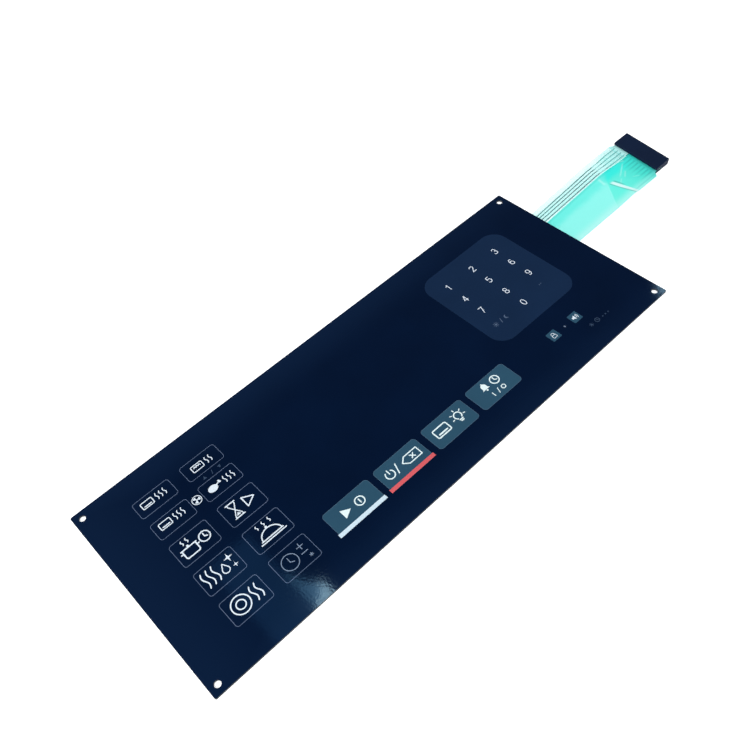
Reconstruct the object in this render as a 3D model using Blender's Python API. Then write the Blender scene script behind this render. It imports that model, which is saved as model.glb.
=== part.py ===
"""Membrane keypad of an oven control: a laminate of printed film, adhesive and circuit films that lies flat,
with two film tails that leave it side by side and end in one twelve-way socket connector.

Metres, +Z up. The origin is the centre of the panel on its rear face. +X runs along the panel towards the
tails, and +Y towards the tops of the legends.
"""

import math

import bmesh
import bpy
from mathutils import Vector
from mathutils.geometry import delaunay_2d_cdt

MM = 0.001
OVERSHOOT = 0.001
ROUNDING = 1e-9

# Panel outline and its four corner holes
PANEL_LENGTH = 0.305
PANEL_WIDTH = 0.120
PANEL_CORNER_RADIUS = 0.0008
CORNER_HOLE_DIAMETER = 0.0034
CORNER_HOLE_INSET = 0.0045

# Laminate, from the rear face up
LINER_THICKNESS = 0.00010
REAR_ADHESIVE_THICKNESS = 0.00013
CIRCUIT_FILM_THICKNESS = 0.000125
SPACER_THICKNESS = 0.00020
OVERLAY_ADHESIVE_THICKNESS = 0.00013
OVERLAY_THICKNESS = 0.00025
LAMINATION_GAP = 0.00001

# Places on the panel are shares of its length and width, from the lower left corner.

# Window behind the dark middle of the overlay, where a display shines through
DISPLAY_WINDOW_WIDTH = 0.096
DISPLAY_WINDOW_HEIGHT = 0.038
DISPLAY_WINDOW_CENTRE = (0.485, 0.700)
DISPLAY_WINDOW_RADIUS = 0.002

# Outlined keys: two columns, and rows from the top down with the height of each
KEY_COLUMNS = (0.1167, 0.2085)
KEY_ROWS = ((0.8188, 0.0109), (0.6858, 0.0109), (0.5371, 0.0147), (0.3725, 0.0147), (0.2079, 0.0147))
KEY_WIDTH = 0.0212
KEY_CORNER_RADIUS = 0.0015
KEY_LINE_WIDTH = 0.00032

# Command tiles along the lower edge: centre along X and width of each
COMMAND_TILES = ((0.3262, 0.0285), (0.4313, 0.0280), (0.5364, 0.0277), (0.6393, 0.0275))
COMMAND_TILE_HEIGHT = 0.0152
COMMAND_TILE_ROW = 0.2050
COMMAND_TILE_RADIUS = 0.0020
STATUS_BAR_HEIGHT = 0.0022

# Number field with its twelve key places, and two small tiles under it
NUMBER_FIELD_WIDTH = 0.0622
NUMBER_FIELD_HEIGHT = 0.0642
NUMBER_FIELD_CENTRE = (0.8154, 0.5858)
NUMBER_FIELD_RADIUS = 0.0095
NUMBER_KEY_PITCH_X = 0.01905
NUMBER_KEY_PITCH_Y = 0.0127
SMALL_TILE_CENTRES = ((0.7898, 0.2000), (0.8462, 0.2000))
SMALL_TILE_WIDTH = 0.0064
SMALL_TILE_HEIGHT = 0.0068
SMALL_TILE_RADIUS = 0.0006

# Openings of the spacer that let a pressed key close its contact, and the channels that let its air out
KEY_OPENING_MARGIN = 0.0020
NUMBER_OPENING_DIAMETER = 0.0090
SMALL_OPENING_DIAMETER = 0.0090
KEY_OPENING_RADIUS = 0.0020
VENT_WIDTH = 0.0014

# Tails: the lower film's carries the coloured coating, and the upper film's is clear and lies beyond it
TAIL_CENTRE = 0.63875
LOWER_TAIL_WIDTH = 0.0244
UPPER_TAIL_WIDTH = 0.0111
TAIL_SPLIT_GAP = 0.0003
TAIL_BEND_STEP = 0.0060
TAIL_CROSS_STEP = 0.0045

# Where along the tails, from the panel's edge, their traces spread to the connector's pitch
SPREAD_START = 0.0510
SPREAD_END = 0.0640

# Cut corners of the tails at the connector, which leave them this much shorter than the housing at each end
CORNER_CUT_LENGTH = 0.0020
CORNER_CUT_SETBACK = 0.0006
FILM_END_MARGIN = 0.0002

# Crease across the coated tail: how far along it lie its point, its foot on the near edge and its shoulder
CREASE_POINT = 0.0464
CREASE_FOOT = 0.0524
CREASE_SHOULDER = 0.0358
CREASE_REACH = 0.0162
CREASE_FACET_WIDTH = 0.0028
CREASE_HEIGHT = 0.0009

# Connector: twelve ways at a tenth of an inch, turned about the tails' run so that its near end rests
WAYS = 12
UPPER_FILM_WAYS = 4
PITCH = 0.00254
HOUSING_DEPTH = 0.0124
HOUSING_HEIGHT = 0.0046
HOUSING_END_WALL = 0.00076
HOUSING_DISTANCE = 0.0814
HOUSING_OFFSET = 0.000654
HOUSING_TWIST = math.radians(7.0)
HOUSING_EDGE_BEVEL = 0.0002
FILM_PLANE = -0.0003
SLOT_HEIGHT = 0.0011
SLOT_DEPTH = 0.0062
SLOT_MOUTH = 0.0005
SOCKET_LEAD_IN = 0.0004
FUNNEL_WALL = 0.00008
LANCE_WINDOW_LENGTH = 0.0016
LANCE_WINDOW_WIDTH = 0.0011

# Contact: a folded box socket with a spring leaf, and a plate whose tines pierce the film and fold over it
STOCK = 0.00025
BOX_SIZE = 0.0020
BOX_SEAM = 0.0002
BOX_LENGTH = 0.0056
BOX_CLEARANCE = 0.0001
BOX_SETBACK = 0.0004
PLATE_WIDTH = 0.0012
PLATE_LENGTH = 0.0050
TINE_THICKNESS = 0.0002
TINE_ROOT_WIDTH = 0.0004
TINE_LENGTH = 0.0008
TINE_PITCH = 0.0022
TINE_REACH = 0.00055
CRIMP_CLEARANCE = 0.00003
PIERCE_CLEARANCE = 0.00005
LEAF_WIDTH = 0.0010
LEAF_RISE = 0.0007
LEAF_FOOT = 0.0005
LEAF_CREST = 0.0034
LEAF_END = 0.0053
FILM_END_GAP = 0.0003

# Facets on round stretches
HOLE_SIDES = 24
CORNER_STEPS = 4
FIELD_CORNER_STEPS = 10

TAIL_ROOT = PANEL_LENGTH / 2
TAIL_MIDDLE = (TAIL_CENTRE - 0.5) * PANEL_WIDTH
TAIL_NEAR_EDGE = TAIL_MIDDLE - (LOWER_TAIL_WIDTH + UPPER_TAIL_WIDTH) / 2
TAIL_SPLIT = TAIL_NEAR_EDGE + LOWER_TAIL_WIDTH
TAIL_FAR_EDGE = TAIL_SPLIT + UPPER_TAIL_WIDTH
HOUSING_X = TAIL_ROOT + HOUSING_DISTANCE
HOUSING_Y = TAIL_MIDDLE + HOUSING_OFFSET
HOUSING_LENGTH = WAYS * PITCH + 2 * HOUSING_END_WALL
RESTING_HEIGHT = HOUSING_HEIGHT / 2 * math.cos(HOUSING_TWIST) + HOUSING_LENGTH / 2 * math.sin(HOUSING_TWIST)

# Heights of the layers' lower faces
LINER_Z = 0.0
REAR_ADHESIVE_Z = LINER_Z + LINER_THICKNESS + LAMINATION_GAP
LOWER_FILM_Z = REAR_ADHESIVE_Z + REAR_ADHESIVE_THICKNESS + LAMINATION_GAP
SPACER_Z = LOWER_FILM_Z + CIRCUIT_FILM_THICKNESS + LAMINATION_GAP
UPPER_FILM_Z = SPACER_Z + SPACER_THICKNESS + LAMINATION_GAP
OVERLAY_ADHESIVE_Z = UPPER_FILM_Z + CIRCUIT_FILM_THICKNESS + LAMINATION_GAP
OVERLAY_Z = OVERLAY_ADHESIVE_Z + OVERLAY_ADHESIVE_THICKNESS + LAMINATION_GAP


def clear_scene():
    for obj in list(bpy.data.objects):
        bpy.data.objects.remove(obj, do_unlink=True)


def material(name, colour, roughness, metallic=0.0, alpha=1.0):
    made = bpy.data.materials.new(name)
    made.use_nodes = True
    shader = made.node_tree.nodes["Principled BSDF"]
    shader.inputs["Base Color"].default_value = (*colour, 1.0)
    shader.inputs["Roughness"].default_value = roughness
    shader.inputs["Metallic"].default_value = metallic
    shader.inputs["Alpha"].default_value = alpha
    return made


def on_panel(across, up):
    """The place at these shares of the panel's length and width from its lower left corner."""
    return ((across - 0.5) * PANEL_LENGTH, (up - 0.5) * PANEL_WIDTH)


def arc(centre, radius, start, end, steps):
    angles = [start + (end - start) * i / steps for i in range(steps + 1)]
    return [(centre[0] + radius * math.cos(a), centre[1] + radius * math.sin(a)) for a in angles]


def circle(centre, diameter, sides=HOLE_SIDES):
    return arc(centre, diameter / 2, 0, 2 * math.pi, sides)[:-1]


def rounded_box(centre, width, height, radius=0.0, steps=CORNER_STEPS):
    """The outline of a rectangle with round corners, anticlockwise from its lower right corner."""
    x, y = width / 2 - radius, height / 2 - radius
    if radius <= 0:
        return [(centre[0] + a * x, centre[1] + b * y) for a, b in ((1, -1), (1, 1), (-1, 1), (-1, -1))]
    outline = []
    for quarter, (a, b) in enumerate(((1, -1), (1, 1), (-1, 1), (-1, -1))):
        start = (quarter - 1) * math.pi / 2
        outline += arc((centre[0] + a * x, centre[1] + b * y), radius, start, start + math.pi / 2, steps)
    return outline


def panel_outline():
    return rounded_box((0, 0), PANEL_LENGTH, PANEL_WIDTH, PANEL_CORNER_RADIUS)


def corner_holes():
    x = PANEL_LENGTH / 2 - CORNER_HOLE_INSET
    y = PANEL_WIDTH / 2 - CORNER_HOLE_INSET
    return [circle((a * x, b * y), CORNER_HOLE_DIAMETER) for a in (-1, 1) for b in (-1, 1)]


def display_window():
    centre = on_panel(*DISPLAY_WINDOW_CENTRE)
    return rounded_box(centre, DISPLAY_WINDOW_WIDTH, DISPLAY_WINDOW_HEIGHT, DISPLAY_WINDOW_RADIUS)


def inside(point, outline):
    x, y = point
    hit = False
    for (ax, ay), (bx, by) in zip(outline, outline[1:] + outline[:1]):
        if (ay > y) != (by > y) and x < ax + (y - ay) * (bx - ax) / (by - ay):
            hit = not hit
    return hit


def new_object(name, mesh, materials, parent=None):
    obj = bpy.data.objects.new(name, mesh)
    bpy.context.scene.collection.objects.link(obj)
    obj.parent = parent
    for entry in materials:
        if entry.name not in [m.name for m in mesh.materials if m]:
            mesh.materials.append(entry)
    return obj


def sheet(name, outline, holes, bottom, thickness, materials, fields=(), guides=(), points=(), rise=None):
    """A film: the outline without its holes, this thick, its lower face at height bottom plus rise(x, y).

    fields are pairs of an outline and the slot of the material that its print has on the top face. guides are
    open lines that become edges, and points are more places where the film may bend.
    """
    flat, edges = [], []
    for loop in [outline, *holes, *(field for field, _ in fields)]:
        first = len(flat)
        flat += [Vector(p) / MM for p in loop]
        edges += [(first + i, first + (i + 1) % len(loop)) for i in range(len(loop))]
    for line in guides:
        first = len(flat)
        flat += [Vector(p) / MM for p in line]
        edges += [(first + i, first + i + 1) for i in range(len(line) - 1)]
    flat += [Vector(p) / MM for p in points]
    placed, _, faces, *_ = delaunay_2d_cdt(flat, edges, [], 1, 1e-4)
    placed = [p * MM for p in placed]

    shape = bmesh.new()
    lift = [bottom + (rise(p.x, p.y) if rise else 0.0) for p in placed]
    lower = [shape.verts.new((p.x, p.y, z)) for p, z in zip(placed, lift)]
    upper = [shape.verts.new((p.x, p.y, z + thickness)) for p, z in zip(placed, lift)]
    sides = {}
    for face in faces:
        middle = sum((placed[i] for i in face), Vector((0.0, 0.0))) / len(face)
        if not inside(middle, outline) or any(inside(middle, hole) for hole in holes):
            continue
        top = shape.faces.new([upper[i] for i in face])
        top.material_index = max([slot for field, slot in fields if inside(middle, field)], default=0)
        shape.faces.new([lower[i] for i in reversed(face)])
        for a, b in zip(face, face[1:] + face[:1]):
            sides[a, b] = (b, a) not in sides
            if (b, a) in sides:
                sides[b, a] = sides[a, b] = False
    for (a, b), outer in sides.items():
        if outer:
            shape.faces.new((upper[b], upper[a], lower[a], lower[b]))
    loose = [v for v in shape.verts if not v.link_faces]
    bmesh.ops.delete(shape, geom=loose, context="VERTS")

    mesh = bpy.data.meshes.new(name)
    shape.to_mesh(mesh)
    shape.free()
    return new_object(name, mesh, materials)


def key_boxes():
    """Centre, width and height of each outlined key."""
    return [(on_panel(column, row), KEY_WIDTH, height) for row, height in KEY_ROWS for column in KEY_COLUMNS]


def command_tile_boxes():
    return [(on_panel(place, COMMAND_TILE_ROW), width, COMMAND_TILE_HEIGHT) for place, width in COMMAND_TILES]


def number_key_centres():
    """The twelve places of the number field, row by row from the top."""
    x, y = on_panel(*NUMBER_FIELD_CENTRE)
    return [
        [(x + column * NUMBER_KEY_PITCH_X, y + (1.5 - row) * NUMBER_KEY_PITCH_Y) for column in (-1, 0, 1)]
        for row in range(4)
    ]


def overlay_print():
    """The colour fields of the overlay, as outlines with the slot of their ink."""
    fields = []
    for centre, width, height in key_boxes():
        line = KEY_LINE_WIDTH
        inner = rounded_box(centre, width - 2 * line, height - 2 * line, KEY_CORNER_RADIUS - line)
        fields.append((rounded_box(centre, width, height, KEY_CORNER_RADIUS), 3))
        fields.append((inner, 4))
    for index, (centre, width, height) in enumerate(command_tile_boxes()):
        fields.append((rounded_box(centre, width, height, COMMAND_TILE_RADIUS), 2))
        if index < 2:
            middle = (centre[0], centre[1] - height / 2 + STATUS_BAR_HEIGHT / 2)
            fields.append((rounded_box(middle, width, STATUS_BAR_HEIGHT), 5 + index))
    centre = on_panel(*NUMBER_FIELD_CENTRE)
    size = NUMBER_FIELD_WIDTH, NUMBER_FIELD_HEIGHT
    fields.append((rounded_box(centre, *size, NUMBER_FIELD_RADIUS, FIELD_CORNER_STEPS), 1))
    for place in SMALL_TILE_CENTRES:
        tile = rounded_box(on_panel(*place), SMALL_TILE_WIDTH, SMALL_TILE_HEIGHT, SMALL_TILE_RADIUS, 2)
        fields.append((tile, 2))
    return fields


def build_overlay():
    inks = [
        material("overlay_navy", (0.0030, 0.0085, 0.0270), 0.35),
        material("overlay_number_field", (0.0103, 0.0242, 0.0612), 0.35),
        material("overlay_tile", (0.0276, 0.0802, 0.1221), 0.35),
        material("overlay_line", (0.35, 0.42, 0.50), 0.35),
        material("overlay_key", (0.0032, 0.0090, 0.0280), 0.35),
        material("overlay_white_bar", (0.72, 0.79, 0.87), 0.35),
        material("overlay_red_bar", (0.83, 0.09, 0.09), 0.35),
    ]
    outline = panel_outline()
    sheet("graphic_overlay", outline, corner_holes(), OVERLAY_Z, OVERLAY_THICKNESS, inks, overlay_print())


def vents(cells):
    """Channels that join neighbouring openings into one chain, as thin boxes between their centres."""
    boxes = []
    for (ax, ay), (bx, by) in zip(cells, cells[1:]):
        length = math.hypot(bx - ax, by - ay)
        across = Vector((ay - by, bx - ax)) / length * VENT_WIDTH / 2
        a, b = Vector((ax, ay)), Vector((bx, by))
        boxes.append([tuple(a - across), tuple(b - across), tuple(b + across), tuple(a + across)])
    return boxes


def spacer_openings():
    """Every opening of the spacer but its window and corner holes, and the vents that join them."""
    openings, chains = [], []
    left, right = [], []
    for index, (centre, width, height) in enumerate(key_boxes()):
        margin = 2 * KEY_OPENING_MARGIN
        openings.append(rounded_box(centre, width - margin, height - margin, KEY_OPENING_RADIUS))
        (right if index % 2 else left).append(centre)
    chains.append(left + right[::-1])
    tiles = command_tile_boxes()
    for centre, width, height in tiles:
        margin = 2 * KEY_OPENING_MARGIN
        openings.append(rounded_box(centre, width - margin, height - margin, KEY_OPENING_RADIUS))
    small = [on_panel(*place) for place in SMALL_TILE_CENTRES]
    openings += [circle(centre, SMALL_OPENING_DIAMETER) for centre in small]
    rows = number_key_centres()
    openings += [circle(centre, NUMBER_OPENING_DIAMETER) for row in rows for centre in row]
    chains.append([centre for centre, _, _ in tiles] + small)
    chains.append(rows[0] + rows[1][::-1] + rows[2] + rows[3][::-1])
    return openings, [box for chain in chains for box in vents(chain)]


def build_spacer():
    """The spacer is cut as a plate, because its vents run into its openings."""
    black = [material("spacer_polyester", (0.0120, 0.0150, 0.0200), 0.45)]
    holes = [*corner_holes(), display_window()]
    spacer = sheet("circuit_spacer", panel_outline(), holes, SPACER_Z, SPACER_THICKNESS, black)
    openings, channels = spacer_openings()
    for name, outlines in (("spacer_opening_cutter", openings), ("spacer_vent_cutter", channels)):
        tool = prisms(name, outlines, SPACER_Z - SPACER_THICKNESS, SPACER_Z + 2 * SPACER_THICKNESS)
        cut(spacer, tool)


def prisms(name, outlines, bottom, top):
    """Upright prisms over these outlines, in one object that only cuts."""
    shape = bmesh.new()
    for outline in outlines:
        swept(shape, [(x, y, bottom) for x, y in outline], (0, 0, top - bottom))
    return cutter(name, shape)


def swept(shape, outline, sweep):
    """A prism from this outline of points along the vector sweep."""
    face = shape.faces.new([shape.verts.new(point) for point in outline])
    raised = bmesh.ops.extrude_face_region(shape, geom=[face])["geom"]
    moved = [v for v in raised if isinstance(v, bmesh.types.BMVert)]
    bmesh.ops.translate(shape, verts=moved, vec=sweep)


def cutter(name, shape, parent=None):
    bmesh.ops.recalc_face_normals(shape, faces=shape.faces)
    mesh = bpy.data.meshes.new(name)
    shape.to_mesh(mesh)
    shape.free()
    obj = new_object(name, mesh, [], parent)
    obj.hide_render = True
    obj.display_type = "WIRE"
    return obj


def cut(target, tool, operation="DIFFERENCE"):
    step = target.modifiers.new(tool.name, "BOOLEAN")
    step.object = tool
    step.operation = operation


def crease_x(y):
    """Where the crease crosses the tails at this height of the part's Y."""
    past = max(0.0, TAIL_NEAR_EDGE + CREASE_REACH - y)
    return TAIL_ROOT + CREASE_POINT + (CREASE_FOOT - CREASE_POINT) * past / CREASE_REACH


def triangle_share(point, a, b, c):
    """The weights of a, b and c at this point."""
    (x, y), (ax, ay), (bx, by), (cx, cy) = point, a, b, c
    area = (bx - ax) * (cy - ay) - (cx - ax) * (by - ay)
    wb = ((x - ax) * (cy - ay) - (cx - ax) * (y - ay)) / area
    wc = ((bx - ax) * (y - ay) - (x - ax) * (by - ay)) / area
    return 1 - wb - wc, wb, wc


def crease_corners():
    """The crease's point, its shoulder and foot on the near edge, and where its steep facet ends."""
    return (
        (TAIL_ROOT + CREASE_POINT, TAIL_NEAR_EDGE + CREASE_REACH),
        (TAIL_ROOT + CREASE_SHOULDER, TAIL_NEAR_EDGE),
        (TAIL_ROOT + CREASE_FOOT, TAIL_NEAR_EDGE),
        (TAIL_ROOT + CREASE_FOOT + CREASE_FACET_WIDTH, TAIL_NEAR_EDGE),
    )


def crease_bump(x, y):
    """The crease lifts a long facet up to its foot, and a steep facet behind it falls back."""
    point, shoulder, foot, end = crease_corners()
    steep = triangle_share((x, y), point, foot, end)
    if min(steep) >= 0:
        return CREASE_HEIGHT * steep[1]
    rising = triangle_share((x, y), point, shoulder, foot)
    return CREASE_HEIGHT * rising[2] if min(rising) >= -ROUNDING else 0.0


def connector_plane(y):
    """Height of the film's middle plane inside the connector."""
    centre_z = RESTING_HEIGHT + FILM_PLANE / math.cos(HOUSING_TWIST)
    return centre_z + (y - HOUSING_Y) * math.tan(HOUSING_TWIST)


def tail_rise(level):
    """How far a film that leaves the laminate at this height has risen at x, y."""

    def rise(x, y):
        if x <= TAIL_ROOT:
            return 0.0
        share = min(1.0, (x - TAIL_ROOT) / (crease_x(y) - TAIL_ROOT))
        goal = connector_plane(y) - CIRCUIT_FILM_THICKNESS / 2 - level
        return goal * share + crease_bump(x, y)

    return rise


def stations(start, end, step):
    count = max(2, round((end - start) / step))
    return [start + (end - start) * i / count for i in range(count + 1)]


def tail_end():
    return HOUSING_X - HOUSING_DEPTH / 2 + SLOT_DEPTH - FILM_END_GAP


def corner_cut():
    """Where along the tails their cut corners start and end."""
    end = HOUSING_X - HOUSING_DEPTH / 2 - CORNER_CUT_SETBACK
    return end - CORNER_CUT_LENGTH, end


def tail_run():
    """Places along the tails where their edges may bend."""
    start, end = TAIL_ROOT + SPREAD_START, TAIL_ROOT + SPREAD_END
    cut_start, cut_end = corner_cut()
    return (
        stations(TAIL_ROOT, start, TAIL_BEND_STEP)[:-1]
        + stations(start, end, TAIL_BEND_STEP)
        + stations(end, cut_start, TAIL_BEND_STEP)[1:]
        + stations(cut_end, tail_end(), TAIL_BEND_STEP)
    )


def outer_line(edge, side):
    """A tail's outer edge, on this side of the tails' middle: straight, then in to the housing's end."""
    reach = (HOUSING_LENGTH / 2 - FILM_END_MARGIN) * math.cos(HOUSING_TWIST)
    last = HOUSING_Y + side * reach - FILM_PLANE * math.sin(HOUSING_TWIST)
    cut_start, cut_end = corner_cut()

    def height(x):
        share = min(1.0, max(0.0, (x - cut_start) / (cut_end - cut_start)))
        return edge + share * (last - edge)

    return height


def split_line(side):
    """The edge of the split between the tails, on this side of it, as a height for each place along them."""
    last = way_place(WAYS - UPPER_FILM_WAYS - 0.5)

    def height(x):
        share = min(1.0, max(0.0, (x - TAIL_ROOT - SPREAD_START) / (SPREAD_END - SPREAD_START)))
        return TAIL_SPLIT + share * (last - TAIL_SPLIT) + side * TAIL_SPLIT_GAP / 2

    return height


def film_outline(near, far):
    """The panel's outline with a tail on its right edge, between the heights that near and far give."""
    x, half = PANEL_LENGTH / 2, PANEL_WIDTH / 2
    radius = PANEL_CORNER_RADIUS
    run = tail_run()
    outline = arc((x - radius, radius - half), radius, -math.pi / 2, 0, CORNER_STEPS)
    outline += [(place, near(place)) for place in run]
    outline += [(place, far(place)) for place in reversed(run)]
    outline += arc((x - radius, half - radius), radius, 0, math.pi / 2, CORNER_STEPS)
    outline += arc((radius - x, half - radius), radius, math.pi / 2, math.pi, CORNER_STEPS)
    outline += arc((radius - x, radius - half), radius, math.pi, 1.5 * math.pi, CORNER_STEPS)
    return outline


def way_offset(way):
    """How far a way lies from the middle of the connector, from its near end to its far end."""
    return (way - (WAYS - 1) / 2) * PITCH


def way_place(way):
    """Where a way crosses the film's plane, in the part's Y."""
    return HOUSING_Y + way_offset(way) * math.cos(HOUSING_TWIST) - FILM_PLANE * math.sin(HOUSING_TWIST)


def tine_places():
    """Middle of each tine along the contact, from the housing's centre."""
    middle = SLOT_DEPTH - HOUSING_DEPTH / 2 - FILM_END_GAP - PLATE_LENGTH / 2
    return [middle - TINE_PITCH / 2, middle + TINE_PITCH / 2]


def pierced_slots(ways):
    """The slots that the tines of these ways make in the film."""
    length = TINE_LENGTH + 2 * PIERCE_CLEARANCE
    width = TINE_THICKNESS + 2 * PIERCE_CLEARANCE
    reach = (PLATE_WIDTH - TINE_THICKNESS) / 2
    return [
        rounded_box((HOUSING_X + place, way_place(way) + side * reach), length, width)
        for way in ways
        for place in tine_places()
        for side in (-1, 1)
    ]


def tail_points(near, far):
    """Places between the tail's edges where the film may bend, up to the connector."""
    return [
        (x, y)
        for x in tail_run()
        if x <= HOUSING_X - HOUSING_DEPTH / 2
        for y in stations(near(x), far(x), TAIL_CROSS_STEP)[1:-1]
    ]


def crease_guides(near, far):
    """The crease's lines where they cross this tail."""
    point, shoulder, foot, end = crease_corners()
    bend = crease_x(point[1])
    start = max(near(bend), point[1])
    guides = [[(bend, start), (bend, far(bend))]]
    if start == point[1]:
        guides += [[point, shoulder], [point, foot], [point, end]]
    return guides


def build_film(name, level, near, far, ways, materials, fields):
    sheet(
        name,
        film_outline(near, far),
        [*corner_holes(), display_window(), *pierced_slots(ways)],
        level,
        CIRCUIT_FILM_THICKNESS,
        materials,
        fields=fields,
        guides=crease_guides(near, far),
        points=tail_points(near, far),
        rise=tail_rise(level),
    )


def build_films():
    clear = material("circuit_polyester", (0.70, 0.80, 0.80), 0.20, alpha=0.55)
    coated = material("dielectric_coating", (0.05, 0.74, 0.62), 0.30)
    near, far = TAIL_NEAR_EDGE, TAIL_FAR_EDGE
    lower_ways = range(WAYS - UPPER_FILM_WAYS)
    upper_ways = range(WAYS - UPPER_FILM_WAYS, WAYS)
    end = tail_end() + OVERSHOOT
    coat = [(TAIL_ROOT, near - OVERSHOOT), (end, near - OVERSHOOT), (end, far), (TAIL_ROOT, far)]
    build_film(
        "lower_circuit_film",
        LOWER_FILM_Z,
        outer_line(near, -1),
        split_line(-1),
        lower_ways,
        [clear, coated],
        [(coat, 1)],
    )
    build_film("upper_circuit_film", UPPER_FILM_Z, split_line(1), outer_line(far, 1), upper_ways, [clear], [])


def build_laminate():
    outline = panel_outline()
    holes = [*corner_holes(), display_window()]
    glue = material("acrylic_adhesive", (0.0100, 0.0130, 0.0180), 0.55)
    paper = material("release_paper", (0.74, 0.70, 0.60), 0.75)
    sheet("release_liner", outline, holes, LINER_Z, LINER_THICKNESS, [paper])
    sheet("rear_adhesive", outline, holes, REAR_ADHESIVE_Z, REAR_ADHESIVE_THICKNESS, [glue])
    sheet("overlay_adhesive", outline, holes, OVERLAY_ADHESIVE_Z, OVERLAY_ADHESIVE_THICKNESS, [glue])


def box(shape, low, high):
    made = bmesh.ops.create_cube(shape, size=1.0)["verts"]
    size = [b - a for a, b in zip(low, high)]
    middle = [(a + b) / 2 for a, b in zip(low, high)]
    bmesh.ops.scale(shape, verts=made, vec=size)
    bmesh.ops.translate(shape, verts=made, vec=middle)
    return made


def contact_floor():
    """Height of the contact's underside in the housing, a sheet's thickness under the film."""
    return FILM_PLANE - CIRCUIT_FILM_THICKNESS / 2 - CRIMP_CLEARANCE - STOCK


def socket_centre_z():
    return contact_floor() + BOX_SIZE / 2


def build_housing(frame):
    black = material("housing_nylon", (0.0040, 0.0100, 0.0240), 0.42)
    depth, length, height = HOUSING_DEPTH / 2, HOUSING_LENGTH / 2, HOUSING_HEIGHT / 2
    slot_end = SLOT_DEPTH - depth
    shape = bmesh.new()
    box(shape, (-depth, -length, -height), (depth, length, height))
    mesh = bpy.data.meshes.new("connector_housing")
    shape.to_mesh(mesh)
    shape.free()
    housing = new_object("connector_housing", mesh, [black], frame)
    bevel = housing.modifiers.new("moulded_edges", "BEVEL")
    bevel.width = HOUSING_EDGE_BEVEL
    bevel.segments = 1

    # The film's slot, with a mouth that widens to the rear
    shape = bmesh.new()
    half, wide = SLOT_HEIGHT / 2, SLOT_HEIGHT / 2 + SLOT_MOUTH
    profile = [
        (-depth - OVERSHOOT, FILM_PLANE - wide),
        (-depth, FILM_PLANE - wide),
        (-depth + 2 * SLOT_MOUTH, FILM_PLANE - half),
        (slot_end, FILM_PLANE - half),
        (slot_end, FILM_PLANE + half),
        (-depth + 2 * SLOT_MOUTH, FILM_PLANE + half),
        (-depth, FILM_PLANE + wide),
        (-depth - OVERSHOOT, FILM_PLANE + wide),
    ]
    start = -length - OVERSHOOT
    swept(shape, [(x, start, z) for x, z in profile], (0, -2 * start, 0))
    cut(housing, cutter("film_slot_cutter", shape, frame))

    # Sockets, each with a funnel at the front and a window for the contact's lance underneath
    sockets, funnels, windows = bmesh.new(), bmesh.new(), bmesh.new()
    middle_z = socket_centre_z()
    half = BOX_SIZE / 2 + BOX_CLEARANCE
    for way in range(WAYS):
        y = way_offset(way)
        end = depth + OVERSHOOT
        box(sockets, (slot_end - half, y - half, middle_z - half), (end, y + half, middle_z + half))
        made = box(
            funnels,
            (depth - SOCKET_LEAD_IN, y - half, middle_z - half),
            (depth + SOCKET_LEAD_IN, y + half, middle_z + half),
        )
        outer = [v for v in made if v.co.x > depth]
        grow = (PITCH - FUNNEL_WALL) / 2 / half
        bmesh.ops.translate(funnels, verts=outer, vec=(0, -y, -middle_z))
        bmesh.ops.scale(funnels, verts=outer, vec=(1, grow, grow))
        bmesh.ops.translate(funnels, verts=outer, vec=(0, y, middle_z))
        start = slot_end + BOX_SETBACK
        low = (start, y - LANCE_WINDOW_WIDTH / 2, -height - OVERSHOOT)
        box(windows, low, (start + LANCE_WINDOW_LENGTH, y + LANCE_WINDOW_WIDTH / 2, middle_z))
    cut(housing, cutter("socket_cutter", sockets, frame))
    cut(housing, cutter("funnel_cutter", funnels, frame))
    cut(housing, cutter("lance_window_cutter", windows, frame))


def box_section(size, stock, seam):
    """The folded box of a socket, seen along it: a square tube with a seam in its top."""
    half, inner = size / 2, size / 2 - stock
    return [
        (seam / 2, half),
        (seam / 2, inner),
        (inner, inner),
        (inner, -inner),
        (-inner, -inner),
        (-inner, inner),
        (-seam / 2, inner),
        (-seam / 2, half),
        (-half, half),
        (-half, -half),
        (half, -half),
        (half, half),
    ]


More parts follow.
